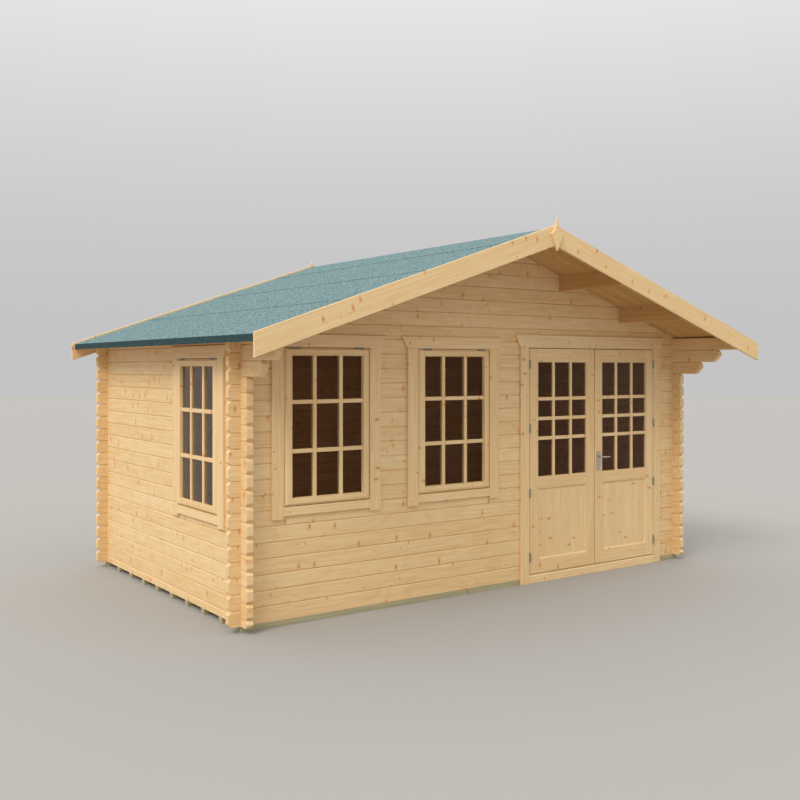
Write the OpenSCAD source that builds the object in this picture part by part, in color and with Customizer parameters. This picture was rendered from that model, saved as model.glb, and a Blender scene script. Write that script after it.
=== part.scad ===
// Log cabin with a double door, three windows and a felted gable roof that oversails the front.
// Frame: +X to the right along the front, -Y out of the front, +Z up.
// The origin is on the ground, in the middle of the whole object's box.

/* [Walls] */
// Width over the side walls' outer faces
wall_w = 4700; // [4600:10:5700]
// Depth over the front and back walls' outer faces
wall_d = 2870; // [2300:10:3600]
// Height of one log
log_h = 114; // [112:1:124]
// Thickness of a log
log_t = 50; // [44:1:64]
// Full logs in a side wall, above its half log
wall_courses = 18; // [18:1:20]
// How far the log ends stand out past a corner
stub = 95; // [60:5:140]
// Chamfer on the log ends
end_chamfer = 24; // [4:1:28]
// Depth of the V groove at each joint
groove = 7; // [2:0.5:8]

/* [Base] */
// Number of bearers
bearer_count = 10; // [5:1:14]
// Width of a bearer
bearer_w = 60; // [55:1:90]
// Height of a bearer
bearer_h = 45; // [30:1:90]
// Thickness of the floor boards
floor_t = 19; // [15:1:28]
// Gap between the floor and the walls
floor_gap = 5; // [0:1:10]

/* [Roof] */
// Rise of the roof for each unit of run
roof_rise = 0.34; // [0.26:0.01:0.5]
// Thickness of the roof boards
roof_board_t = 19; // [15:1:28]
// Thickness of the felt
felt_t = 4; // [2:0.5:8]
// From the front wall's face to the front bargeboards' face
front_over = 740; // [620:10:1200]
// From the back wall's face to the back bargeboards' face
back_over = 180; // [170:10:500]
// From a side wall's face to the bargeboards' ends
side_over = 268; // [200:1:360]
// From the bargeboards' ends in to the felt's eave edge
eave_inset = 25; // [10:1:50]
// Width of the batten under the eave edge
batten_w = 40; // [20:1:60]
// Height of the batten under the eave edge
batten_h = 28; // [20:1:50]
// Plumb depth of a bargeboard
barge_h = 163; // [120:1:220]
// Thickness of a bargeboard
barge_t = 20; // [15:1:30]
// How far a bargeboard stands above the felt
barge_upstand = 15; // [0:1:40]
// Height of a finial
finial_h = 266; // [160:2:400]
// Width of a finial
finial_w = 116; // [60:2:180]
// Thickness of a finial
finial_t = 20; // [15:1:30]
// From the bargeboards' apex down to the finial's centre
finial_drop = 74; // [0:1:120]

/* [Purlins] */
// Width of a purlin
purlin_w = 45; // [40:1:80]
// Height of a purlin
purlin_h = 130; // [90:1:180]
// From the ridge to the inner purlins' centres
purlin_inner = 785; // [500:5:900]
// From the ridge to the outer purlins' centres
purlin_outer = 1560; // [1300:5:1900]

/* [Corbels] */
// Reach of the third log from the top, past the front wall's face
corbel_3 = 325; // [200:5:360]
// Reach of the second log from the top, past the front wall's face
corbel_2 = 530; // [400:5:600]
// Chamfer under a corbel's nose
corbel_chamfer = 58; // [20:1:90]

/* [Windows] */
// Width of a sash
sash_w = 738; // [600:2:800]
// Height of a sash
sash_h = 1155; // [800:5:1180]
// Thickness of a sash
sash_t = 44; // [34:1:48]
// Width of a sash stile
sash_stile = 58; // [50:1:90]
// Height of a sash's top rail
sash_top = 53; // [50:1:90]
// Height of a sash's bottom rail
sash_bottom = 53; // [50:1:90]
// Width of a glazing bar
bar_w = 31; // [18:1:36]
// Depth of a glazing bar
bar_t = 34; // [16:1:36]
// From the middle of a sash to the centres of its upright bars
bar_x = 114; // [90:1:130]
// Thickness of the glass
glass_t = 4; // [3:1:6]
// Depth of the glass in its rebate
glass_edge = 8; // [5:1:14]
// Gap around a sash
sash_gap = 4; // [2:1:8]
// How far a sash stands out past its trims
sash_proud = 8; // [0:1:12]
// Chamfer round a sash's outer front edges
sash_chamfer = 16; // [2:1:24]
// Thickness of a lining
lining_t = 30; // [20:1:40]
// Width and depth of the stop behind a sash or a door
stop_w = 15; // [10:1:24]
// Centre of the left window, from the left wall's outer face
window_left_x = 708; // [700:1:760]
// Centre of the right window, from the left wall's outer face
window_right_x = 1913; // [1860:1:2000]
// Centre of the side window, from the front wall's outer face
window_side_y = 726; // [700:1:1200]
// Underside of the front windows' sashes, above the bearers
window_front_z = 822; // [700:1:840]
// Underside of the side window's sash, above the bearers
window_side_z = 742; // [600:1:840]

/* [Trims] */
// Thickness of the outer trims
trim_t = 20; // [12:1:24]
// Width of the outer trims
trim_w = 99; // [80:1:120]
// Height of a window's header trim
window_header = 95; // [70:1:120]
// Height of the trim under a window
window_apron = 66; // [50:1:90]
// How far a window's side trims run below its sash
window_horn = 92; // [78:1:140]
// How far a header trim's top corners flare out
header_flare = 55; // [0:1:80]
// Thickness of the inner trims
inner_trim_t = 15; // [10:1:24]
// Width of the inner trims
inner_trim_w = 60; // [45:1:90]

/* [Doors] */
// Width of a door leaf
leaf_w = 793; // [700:1:840]
// Height of a door leaf
leaf_h = 1958; // [1900:1:1980]
// Thickness of a door leaf
leaf_t = 40; // [34:1:44]
// Gap around the leaves
leaf_gap = 6; // [5:0.5:8]
// Gap between the leaves
meeting_gap = 8; // [7:0.5:12]
// Underside of the leaves, above the bearers
leaf_z = 37; // [30:1:60]
// Centre of the doorway, from the left wall's outer face
door_x = 3540; // [3480:1:3600]
// Thickness of the door lining
door_lining_t = 34; // [24:1:40]
// Clearance between a leaf's back and its stop
stop_gap = 5; // [5:1:10]
// Width of a leaf's stiles
leaf_stile = 95; // [90:1:130]
// Height of a leaf's top rail
leaf_top = 115; // [90:1:160]
// Height of a leaf's middle rail
leaf_middle = 90; // [80:1:140]
// Height of a leaf's bottom rail
leaf_bottom = 113; // [90:1:180]
// Height of the recessed panel
panel_h = 632; // [500:1:700]
// Thickness of the recessed panel
panel_t = 16; // [10:1:22]
// Width of the bars in a leaf
leaf_bar = 30; // [18:1:36]
// Depth of the bars in a leaf
leaf_bar_t = 26; // [16:1:36]
// Height of the tall panes at the top of a leaf
tall_pane = 310; // [240:1:330]
// Height of the two rows of small panes in a leaf
small_pane = 142.5; // [110:0.5:150]
// Height of the door's header trim
door_header = 112; // [80:1:120]

/* [Door fittings] */
// Radius of a hinge's barrel
barrel_r = 7; // [6:0.5:9]
// Height of a hinge's barrel
barrel_h = 76; // [60:1:100]
// Radius of a hinge's pin
pin_r = 4; // [3:0.5:5]
// Radial clearance of a hinge's pin and of the lever's neck
running_fit = 0.05; // [0.02:0.01:0.1]
// Clearance between a barrel and the woodwork
barrel_gap = 1; // [1:0.5:3]
// Centre of the lowest hinge, above the leaf's underside
hinge_low = 146; // [120:1:200]
// Centre of the highest hinge, below the leaf's top
hinge_high = 138; // [120:1:200]
// From the leaf's meeting edge to the lever's axis
backset = 42; // [36:1:60]
// Lever's axis above the leaf's underside
lever_z = 975; // [920:1:1080]
// Length of the lever from its axis
lever_l = 118; // [90:1:140]
// Radius of the lever
lever_r = 8; // [6:0.5:10]
// How far the lever stands off its plate
lever_off = 38; // [32:1:50]
// Width of a handle plate
plate_w = 42; // [36:1:50]
// Height of a handle plate
plate_h = 176; // [150:1:220]
// Thickness of a handle plate
plate_t = 8; // [4:1:10]
// From the lever's axis up to the plate's top
plate_above = 52; // [40:1:70]

/* [Hidden] */
$fn = 48;

pine = "#e2c08f";
pine_shade = "#caa573";
treated = "#8e8b6e";
felt_green = "#83a19d";
glazing = "#4a3a2e";
steel = "#b9bab8";

// Heights are above the ground, which the bearers stand on.
base_z = bearer_h;
eave_z = base_z + (wall_courses + 0.5) * log_h;
plate_z = base_z + wall_courses * log_h;
front_y = -wall_d / 2 + (front_over - back_over) / 2;
back_y = front_y + wall_d;
half_w = wall_w / 2;
roof_y0 = front_y - front_over + barge_t;
roof_y1 = back_y + back_over - barge_t;
eave_x = half_w + side_over - eave_inset;
slope = sqrt(1 + roof_rise * roof_rise);
boards_plumb = roof_board_t * slope;
felt_plumb = felt_t * slope;
barge_top = boards_plumb + felt_plumb + barge_upstand * slope;

window_left_at = window_left_x - half_w;
window_right_at = window_right_x - half_w;
door_at = door_x - half_w;
window_hole_w = sash_w + 2 * (sash_gap + lining_t);
door_clear = leaf_w + meeting_gap / 2 + leaf_gap;
door_hole = door_clear + door_lining_t;

hinge_y = -trim_t - barrel_gap - barrel_r;
hinge_count = 4;
hinge_x = door_clear - leaf_gap / 2;
tang_t = 3;
cut = 10;

// Underside of the roof boards at a distance x from the ridge
function roof_z(x) = eave_z + (half_w - abs(x)) * roof_rise;

// Heights of the joints: front and back walls start with a full log, side walls with a half log.
front_joints = [for (k = [0:wall_courses + 1]) base_z + k * log_h];
side_joints = concat([base_z], [for (j = [0:wall_courses]) base_z + (j + 0.5) * log_h]);

function reversed(list) = [for (i = [len(list) - 1:-1:0]) list[i]];

// A profile of x and z points drawn from y0 to y1
module along_y(y0, y1, points) {
    translate([0, y1, 0]) rotate([90, 0, 0]) linear_extrude(y1 - y0) polygon(points);
}

// A profile of y and z points drawn from x0 to x1
module along_x(x0, x1, points) {
    translate([x0, 0, 0]) rotate([90, 0, 90]) linear_extrude(x1 - x0) polygon(points);
}

// A box between two corners
module block(low, high) {
    translate(low) cube(high - low);
}

// A frame of boards around a clear opening, both centred on x = 0
module ring(outer, inner, z0, z1, in_z0, in_z1, y0, y1) {
    difference() {
        block([-outer, y0, z0], [outer, y1, z1]);
        block([-inner, y0 - cut, in_z0], [inner, y1 + cut, in_z1]);
    }
}

// One face of a stack of logs, with a V groove at each joint
function grooved_face(joints, z0, z1) = concat([[0, z0]],
    [for (z = joints) if (z > z0 + groove && z < z1 - groove)
        each [[0, z - groove], [groove, z], [0, z + groove]]],
    [[0, z1]]);

// Cross-section of a stack of logs that starts at face and goes back by log_t
function grooved_section(face, joints, z0, z1) =
    let (side = grooved_face(joints, z0, z1))
    concat([for (p = side) [face + p[0], p[1]]],
        [for (p = reversed(side)) [face + log_t - p[0], p[1]]]);

// Outline of a stack's ends, where reach lists how far each log stands out past the corner
function end_outline(corner, way, joints, reach, chamfer) = [for (i = [0:len(joints) - 2])
    each [[corner + way * (reach[i] - chamfer[i]), joints[i]],
        [corner + way * reach[i], joints[i] + chamfer[i]],
        [corner + way * reach[i], joints[i + 1] - end_chamfer],
        [corner + way * (reach[i] - end_chamfer), joints[i + 1]]]];

module at_front(x, z) {
    translate([x, front_y, base_z + z]) children();
}

module at_left_side(y, z) {
    translate([-half_w, front_y + y, base_z + z]) rotate([0, 0, -90]) children();
}

// Where the walls cross, the front and back logs keep the middle half of their height.
module crossing_cuts(x0, x1, y0, y1, first) {
    for (k = [0:wall_courses + 1]) let (z = base_z + (k + first) * log_h)
        block([x0, y0, z], [x1, y1, z + log_h / 2]);
}

// A purlin under the roof boards, its top cut to their slope
module purlin(x, y0, y1) {
    half = purlin_w / 2;
    foot = roof_z(x) - purlin_h;
    along_y(y0, y1, [[x - half, foot], [x + half, foot], [x + half, roof_z(x + half)], [x, roof_z(x)],
        [x - half, roof_z(x - half)]]);
}

// A whole gable wall, front or back, up to the roof boards
module gable_wall(face) {
    ends = end_outline(half_w, 1, front_joints, [for (j = front_joints) stub],
        [for (j = front_joints) end_chamfer]);
    right = concat([[half_w, base_z]], ends, [[half_w, roof_z(0)]]);
    difference() {
        intersection() {
            along_y(face, face + log_t, concat(right, [for (p = reversed(right)) [-p[0], p[1]]]));
            along_x(-half_w - stub - cut, half_w + stub + cut, grooved_section(face,
                [for (k = [1:3 * wall_courses]) base_z + k * log_h], base_z, roof_z(0)));
            along_y(face - cut, face + log_t + cut, [[-eave_x, base_z - cut], [eave_x, base_z - cut],
                [eave_x, roof_z(eave_x)], [0, roof_z(0)], [-eave_x, roof_z(eave_x)]]);
        }
        for (side = [-1, 1]) crossing_cuts(min(side * half_w, side * (half_w - log_t)),
            max(side * half_w, side * (half_w - log_t)), face - cut, face + log_t + cut, -0.25);
        for (x = [-purlin_outer, -purlin_inner, 0, purlin_inner, purlin_outer])
            purlin(x, face - cut, face + log_t + cut);
    }
}

// A whole side wall, whose three top logs run on as corbels under the front of the roof
module side_wall(face) {
    logs = len(side_joints) - 1;
    reach = [for (i = [0:logs - 1]) i == logs - 1 ? front_over - barge_t
        : i == logs - 2 ? corbel_2 : i == logs - 3 ? corbel_3 : stub];
    nose = [for (i = [0:logs - 1]) i == logs - 1 ? 0 : i >= logs - 3 ? corbel_chamfer : end_chamfer];
    front_end = end_outline(front_y, -1, side_joints, reach, nose);
    top = front_y - front_over + barge_t;
    back_end = end_outline(back_y, 1, side_joints, [for (i = reach) stub], [for (i = reach) end_chamfer]);
    difference() {
        intersection() {
            along_x(face, face + log_t, concat([[back_y, base_z], [front_y, base_z]],
                [for (p = front_end) p[1] == eave_z ? [top, eave_z] : p], reversed(back_end)));
            along_y(front_y - front_over, back_y + back_over,
                grooved_section(face, side_joints, base_z, eave_z));
        }
        for (y = [front_y, back_y - log_t])
            crossing_cuts(face - cut, face + log_t + cut, y, y + log_t, 0.25);
    }
}

// Window and door holes, in the frame of at_front or at_left_side
module window_hole() {
    block([-window_hole_w / 2, -cut, -sash_gap - lining_t],
        [window_hole_w / 2, log_t + cut, sash_h + sash_gap + lining_t]);
}

module bearers() {
    pitch = (wall_d - bearer_w) / (bearer_count - 1);
    color(treated) for (i = [0:bearer_count - 1])
        block([-half_w, front_y + i * pitch, 0], [half_w, front_y + i * pitch + bearer_w, bearer_h]);
}

module floor_boards() {
    x = half_w - log_t - floor_gap;
    color(pine_shade) block([-x, front_y + log_t + floor_gap, base_z],
        [x, back_y - log_t - floor_gap, base_z + floor_t]);
}

module front_wall_left() {
    color(pine) difference() {
        intersection() {
            gable_wall(front_y);
            block([-half_w - stub - cut, front_y - cut, 0],
                [door_at - door_hole, front_y + log_t + cut, plate_z]);
        }
        at_front(window_left_at, window_front_z) window_hole();
        at_front(window_right_at, window_front_z) window_hole();
    }
}

module front_wall_right() {
    color(pine) intersection() {
        gable_wall(front_y);
        block([door_at + door_hole, front_y - cut, 0],
            [half_w + stub + cut, front_y + log_t + cut, plate_z]);
    }
}

module front_gable() {
    color(pine) intersection() {
        gable_wall(front_y);
        block([-half_w - stub - cut, front_y - cut, plate_z],
            [half_w + stub + cut, front_y + log_t + cut, roof_z(0) + cut]);
    }
}

module back_wall() {
    color(pine) gable_wall(back_y - log_t);
}

module left_wall() {
    color(pine) difference() {
        side_wall(-half_w);
        at_left_side(window_side_y, window_side_z) window_hole();
    }
}

module right_wall() {
    color(pine) side_wall(half_w - log_t);
}

module ridge_purlin() {
    color(pine_shade) purlin(0, roof_y0, roof_y1);
}

module purlins() {
    color(pine_shade) for (x = [-purlin_outer, -purlin_inner, purlin_inner, purlin_outer])
        purlin(x, roof_y0, roof_y1);
}

module roof_boards(side) {
    edge = eave_x - felt_t;
    along_y(roof_y0, roof_y1, [[0, roof_z(0)], [side * edge, roof_z(edge)],
        [side * edge, roof_z(edge) + boards_plumb], [0, roof_z(0) + boards_plumb]]);
}

module roof_boards_left() {
    color(pine_shade) roof_boards(-1);
}

module roof_boards_right() {
    color(pine_shade) roof_boards(1);
}

// Lies on both slopes and turns down over the eave edges
module roof_felt() {
    edge = eave_x - felt_t;
    low = roof_z(edge) - batten_h;
    under = boards_plumb;
    over = boards_plumb + felt_plumb;
    half = [[0, roof_z(0) + over], [eave_x, roof_z(eave_x) + over], [eave_x, low], [edge, low],
        [edge, roof_z(edge) + under], [0, roof_z(0) + under]];
    color(felt_green) along_y(roof_y0, roof_y1, concat(half,
        [for (i = [4:-1:1]) [-half[i][0], half[i][1]]]));
}

module eave_battens() {
    edge = eave_x - felt_t;
    color(pine_shade) for (side = [-1, 1]) along_y(roof_y0, roof_y1, [
        [side * edge, roof_z(edge)], [side * (edge - batten_w), roof_z(edge - batten_w)],
        [side * (edge - batten_w), roof_z(edge) - batten_h], [side * edge, roof_z(edge) - batten_h]]);
}

module bargeboard(side, y) {
    end = half_w + side_over;
    along_y(y, y + barge_t, [[0, roof_z(0) + barge_top], [side * end, roof_z(end) + barge_top],
        [side * end, roof_z(end) + barge_top - barge_h], [0, roof_z(0) + barge_top - barge_h]]);
}

module bargeboard_front_left() {
    color(pine) bargeboard(-1, front_y - front_over);
}

module bargeboard_front_right() {
    color(pine) bargeboard(1, front_y - front_over);
}

module bargeboard_back_left() {
    color(pine) bargeboard(-1, roof_y1);
}

module bargeboard_back_right() {
    color(pine) bargeboard(1, roof_y1);
}

// Upper edge of a finial, from its tip to its side corner, in half widths and half heights
finial_edge = [[0, 1], [0.17, 0.56], [0.41, 0.27], [1, 0]];

module finial(y) {
    z = roof_z(0) + barge_top - finial_drop;
    right = [for (p = finial_edge) [p[0] * finial_w / 2, z + p[1] * finial_h / 2]];
    along_y(y, y + finial_t, concat(right, [[0, z - finial_h / 2]],
        [for (i = [len(right) - 1:-1:1]) [-right[i][0], right[i][1]]]));
}

module finial_front() {
    color(pine) finial(front_y - front_over - finial_t);
}

module finial_back() {
    color(pine) finial(back_y + back_over);
}

// Windows stand on z = 0 at the sash's underside, with the wall's face at y = 0.
sash_y = -trim_t - sash_proud;
sash_back = sash_y + sash_t;
pane_y = sash_back - bar_t / 2;

module window_lining() {
    x = sash_w / 2 + sash_gap;
    stop = sash_w / 2 - stop_w;
    cover = x + inner_trim_w;
    color(pine) union() {
        ring(x + lining_t, x, -sash_gap - lining_t, sash_h + sash_gap + lining_t,
            -sash_gap, sash_h + sash_gap, 0, log_t);
        ring(x, stop, -sash_gap, sash_h + sash_gap, stop_w, sash_h - stop_w, sash_back, sash_back + stop_w);
        ring(cover, x, -sash_gap - inner_trim_w, sash_h + sash_gap + inner_trim_w,
            -sash_gap, sash_h + sash_gap, log_t, log_t + inner_trim_t);
    }
}

module header(half, z0, z1) {
    along_y(-trim_t, 0, [[-half, z0], [half, z0], [half + header_flare, z1], [-half - header_flare, z1]]);
}

module window_trim() {
    x = sash_w / 2 + sash_gap;
    top = sash_h + sash_gap;
    color(pine) union() {
        for (side = [-1, 1]) translate([side * (x + trim_w / 2), 0, 0])
            block([-trim_w / 2, -trim_t, -window_horn], [trim_w / 2, 0, top]);
        block([-x, -trim_t, -sash_gap - window_apron], [x, 0, -sash_gap]);
        header(x + trim_w, top, top + window_header);
    }
}

// The glass of a framed light, let into its rebate
module light_glass(half, z0, z1, mid) {
    block([-half - glass_edge, mid - glass_t / 2, z0 - glass_edge],
        [half + glass_edge, mid + glass_t / 2, z1 + glass_edge]);
}

// A sash before its light is cut out, chamfered round the front
module sash_blank() {
    x = sash_w / 2;
    shoulder = sash_y + sash_chamfer;
    intersection() {
        translate([0, 0, -cut]) linear_extrude(sash_h + 2 * cut) polygon([[-x, sash_back], [-x, shoulder],
            [-x + sash_chamfer, sash_y], [x - sash_chamfer, sash_y], [x, shoulder], [x, sash_back]]);
        along_x(-x - cut, x + cut, [[sash_back, 0], [shoulder, 0], [sash_y, sash_chamfer],
            [sash_y, sash_h - sash_chamfer], [shoulder, sash_h], [sash_back, sash_h]]);
    }
}

module window_sash() {
    half = sash_w / 2 - sash_stile;
    z1 = sash_h - sash_top;
    bar_y = sash_back - bar_t;
    color(pine) difference() {
        union() {
            difference() {
                sash_blank();
                block([-half, sash_y - cut, sash_bottom], [half, sash_back + cut, z1]);
            }
            for (i = [-1, 1]) translate([i * bar_x, 0, 0])
                block([-bar_w / 2, bar_y, sash_bottom], [bar_w / 2, sash_back, z1]);
            for (i = [1, 2])
                translate([0, 0, sash_bottom - bar_w / 2 + i * (z1 - sash_bottom + bar_w) / 3])
                    block([-half, bar_y, -bar_w / 2], [half, sash_back, bar_w / 2]);
        }
        light_glass(half, sash_bottom, z1, pane_y);
    }
}

module window_glass() {
    color(glazing) light_glass(sash_w / 2 - sash_stile, sash_bottom, sash_h - sash_top, pane_y);
}

module window_left_lining() {
    at_front(window_left_at, window_front_z) window_lining();
}

module window_left_trim() {
    at_front(window_left_at, window_front_z) window_trim();
}

module window_left_sash() {
    at_front(window_left_at, window_front_z) window_sash();
}

module window_left_glass() {
    at_front(window_left_at, window_front_z) window_glass();
}

module window_right_lining() {
    at_front(window_right_at, window_front_z) window_lining();
}

module window_right_trim() {
    at_front(window_right_at, window_front_z) window_trim();
}

module window_right_sash() {
    at_front(window_right_at, window_front_z) window_sash();
}

module window_right_glass() {
    at_front(window_right_at, window_front_z) window_glass();
}

module window_side_lining() {
    at_left_side(window_side_y, window_side_z) window_lining();
}

module window_side_trim() {
    at_left_side(window_side_y, window_side_z) window_trim();
}

module window_side_sash() {
    at_left_side(window_side_y, window_side_z) window_sash();
}

module window_side_glass() {
    at_left_side(window_side_y, window_side_z) window_glass();
}

// The doorway stands on z = 0 at the bearers' top, with the wall's face at y = 0.
leaf_y = -trim_t;
leaf_back = leaf_y + leaf_t;
door_head = leaf_z + leaf_h + leaf_gap;
door_sill = leaf_z - leaf_gap;

module door_lining() {
    top = wall_courses * log_h;
    stop_y = leaf_back + stop_gap;
    stop_x = door_clear - leaf_gap - stop_w;
    color(pine) at_front(door_at, 0) union() {
        ring(door_hole, door_clear, 0, top, door_sill, door_head, 0, log_t);
        ring(door_clear, stop_x, door_sill, door_head, leaf_z + stop_w, door_head - leaf_gap - stop_w,
            stop_y, log_t);
        block([-door_clear, -trim_t, -base_z], [door_clear, 0, door_sill]);
        for (side = [-1, 1]) translate([side * (door_clear + inner_trim_w / 2), 0, 0])
            block([-inner_trim_w / 2, log_t, floor_t], [inner_trim_w / 2, log_t + inner_trim_t, door_head]);
        block([-door_clear - inner_trim_w, log_t, door_head],
            [door_clear + inner_trim_w, log_t + inner_trim_t, door_head + inner_trim_w]);
    }
}

module door_trim() {
    color(pine) at_front(door_at, 0) union() {
        for (side = [-1, 1]) translate([side * (door_clear + trim_w / 2), 0, 0])
            block([-trim_w / 2, -trim_t, -base_z], [trim_w / 2, 0, door_head]);
        header(door_clear + trim_w, door_head, door_head + door_header);
    }
}

// Leaves are drawn for the right leaf, hung at x = hinge_x; the left leaf is its mirror image.
leaf_x0 = meeting_gap / 2;
leaf_x1 = leaf_x0 + leaf_w;
leaf_mid = (leaf_x0 + leaf_x1) / 2;
leaf_light = leaf_w / 2 - leaf_stile;
panel_z0 = leaf_z + leaf_bottom;
light_z0 = panel_z0 + panel_h + leaf_middle;
light_z1 = leaf_z + leaf_h - leaf_top;
leaf_core = leaf_y + leaf_t / 2;

module on_leaf(side) {
    at_front(door_at, 0) mirror([side < 0 ? 1 : 0, 0, 0]) children();
}

module leaf_glass() {
    translate([leaf_mid, 0, 0]) light_glass(leaf_light, light_z0, light_z1, leaf_core);
}

module leaf_panel() {
    x = leaf_light + glass_edge;
    translate([leaf_mid, 0, 0]) block([-x, leaf_core - panel_t / 2, panel_z0 - glass_edge],
        [x, leaf_core + panel_t / 2, panel_z0 + panel_h + glass_edge]);
}

module leaf() {
    bars = [for (i = [0:2]) light_z1 - tall_pane - leaf_bar - i * (small_pane + leaf_bar)];
    front = leaf_core - leaf_bar_t / 2;
    back = leaf_core + leaf_bar_t / 2;
    color(pine) difference() {
        union() {
            difference() {
                block([leaf_x0, leaf_y, leaf_z], [leaf_x1, leaf_back, leaf_z + leaf_h]);
                block([leaf_mid - leaf_light, leaf_y - cut, panel_z0],
                    [leaf_mid + leaf_light, leaf_back + cut, panel_z0 + panel_h]);
                block([leaf_mid - leaf_light, leaf_y - cut, light_z0],
                    [leaf_mid + leaf_light, leaf_back + cut, light_z1]);
            }
            for (i = [-1, 1]) translate([leaf_mid + i * (leaf_light + leaf_bar / 2) / 3, 0, 0])
                block([-leaf_bar / 2, front, light_z0], [leaf_bar / 2, back, light_z1]);
            for (z = bars) block([leaf_mid - leaf_light, front, z],
                [leaf_mid + leaf_light, back, z + leaf_bar]);
        }
        leaf_glass();
        leaf_panel();
    }
}

// Hinges: the frame's half is the lower one and carries the pin, the leaf's half turns on it.
hinge_z = [for (i = [0:hinge_count - 1]) leaf_z + hinge_low
    + i * (leaf_h - hinge_low - hinge_high) / (hinge_count - 1)];
half_gap = 0.5;
half_barrel = (barrel_h - half_gap) / 2;
pin_l = half_barrel * 0.8;

module hinge_lower() {
    translate([hinge_x, hinge_y, -barrel_h / 2]) {
        cylinder(r = barrel_r, h = half_barrel);
        cylinder(r = pin_r, h = half_barrel + half_gap + pin_l);
        block([tang_t, 0, 0], [2 * tang_t, -hinge_y - trim_t, half_barrel]);
    }
}

module hinge_upper() {
    translate([hinge_x, hinge_y, barrel_h / 2 - half_barrel]) difference() {
        union() {
            cylinder(r = barrel_r, h = half_barrel);
            block([-2 * tang_t, 0, 0], [-tang_t, -hinge_y - trim_t, half_barrel]);
        }
        translate([0, 0, -cut]) cylinder(r = pin_r + running_fit, h = cut + pin_l + half_gap);
    }
}

module door_hinge_pins() {
    color(steel) for (side = [-1, 1]) on_leaf(side) for (z = hinge_z)
        translate([0, 0, z]) hinge_lower();
}

module leaf_hinges(side) {
    color(steel) on_leaf(side) for (z = hinge_z) translate([0, 0, z]) hinge_upper();
}

module left_leaf() {
    on_leaf(-1) leaf();
}

module left_leaf_panel() {
    color(pine_shade) on_leaf(-1) leaf_panel();
}

module left_leaf_glass() {
    color(glazing) on_leaf(-1) leaf_glass();
}

module left_leaf_hinges() {
    leaf_hinges(-1);
}

// The lever's axis runs through the right leaf's meeting stile.
neck_r = lever_r + 1;
spindle_r = lever_r / 2;

module lever_axis() {
    translate([leaf_x0 + backset, 0, leaf_z + lever_z]) rotate([-90, 0, 0]) children();
}

module right_leaf() {
    on_leaf(1) difference() {
        leaf();
        lever_axis() translate([0, 0, leaf_y - cut]) cylinder(r = neck_r + 1, h = leaf_t + 2 * cut);
    }
}

module right_leaf_panel() {
    color(pine_shade) on_leaf(1) leaf_panel();
}

module right_leaf_glass() {
    color(glazing) on_leaf(1) leaf_glass();
}

module right_leaf_hinges() {
    leaf_hinges(1);
}

module handle_plates() {
    z = leaf_z + lever_z + plate_above;
    x = leaf_x0 + backset;
    color(steel) on_leaf(1) difference() {
        for (y = [leaf_y - plate_t, leaf_back])
            block([x - plate_w / 2, y, z - plate_h], [x + plate_w / 2, y + plate_t, z]);
        lever_axis() translate([0, 0, leaf_y - plate_t - cut])
            cylinder(r = neck_r + running_fit, h = leaf_t + 2 * (plate_t + cut));
    }
}

module handle_lever() {
    out = leaf_y - plate_t - lever_off;
    back = leaf_back + plate_t + lever_off;
    color(steel) on_leaf(1) lever_axis() {
        translate([0, 0, out]) cylinder(r = neck_r, h = leaf_y - out);
        translate([0, 0, leaf_back]) cylinder(r = neck_r, h = back - leaf_back);
        translate([0, 0, leaf_y - 1]) cylinder(r = spindle_r, h = leaf_t + 2);
        for (y = [out, back]) translate([0, 0, y]) {
            sphere(r = neck_r);
            rotate([0, 90, 0]) cylinder(r = lever_r, h = lever_l - lever_r);
            translate([lever_l - lever_r, 0, 0]) sphere(r = lever_r);
        }
    }
}

bearers();
floor_boards();
front_wall_left();
front_wall_right();
front_gable();
back_wall();
left_wall();
right_wall();
ridge_purlin();
purlins();
roof_boards_left();
roof_boards_right();
roof_felt();
eave_battens();
bargeboard_front_left();
bargeboard_front_right();
bargeboard_back_left();
bargeboard_back_right();
finial_front();
finial_back();
window_left_lining();
window_left_trim();
window_left_sash();
window_left_glass();
window_right_lining();
window_right_trim();
window_right_sash();
window_right_glass();
window_side_lining();
window_side_trim();
window_side_sash();
window_side_glass();
door_lining();
door_trim();
door_hinge_pins();
left_leaf();
left_leaf_panel();
left_leaf_glass();
left_leaf_hinges();
right_leaf();
right_leaf_panel();
right_leaf_glass();
right_leaf_hinges();
handle_plates();
handle_lever();
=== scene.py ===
"""Log cabin with a glazed double door, three windows and a felted gable roof."""
import math
import random

import bmesh
import bpy
from mathutils import Matrix, Vector


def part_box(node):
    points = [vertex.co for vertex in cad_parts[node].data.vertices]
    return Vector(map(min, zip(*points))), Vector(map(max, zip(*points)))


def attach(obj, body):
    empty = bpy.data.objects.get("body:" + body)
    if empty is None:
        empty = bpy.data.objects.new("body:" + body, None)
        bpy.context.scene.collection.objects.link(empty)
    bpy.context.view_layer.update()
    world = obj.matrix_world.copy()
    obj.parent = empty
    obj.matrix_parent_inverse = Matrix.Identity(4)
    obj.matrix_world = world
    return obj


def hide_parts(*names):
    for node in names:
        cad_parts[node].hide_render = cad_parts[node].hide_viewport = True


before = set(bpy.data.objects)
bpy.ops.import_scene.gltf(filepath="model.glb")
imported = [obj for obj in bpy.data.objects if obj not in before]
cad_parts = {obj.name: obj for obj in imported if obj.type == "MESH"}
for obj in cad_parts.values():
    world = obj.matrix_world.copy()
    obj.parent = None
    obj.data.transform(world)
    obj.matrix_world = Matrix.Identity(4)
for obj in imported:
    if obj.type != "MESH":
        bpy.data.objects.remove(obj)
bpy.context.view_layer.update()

bl_info = {
    "name": "Log cabin",
    "version": (1, 0, 0),
    "blender": (4, 5, 0),
    "location": "View3D > Sidebar > Log cabin",
    "description": "Builds the boards, joinery, felt and fittings of a log cabin around its frame",
    "category": "Add Mesh",
}

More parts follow.
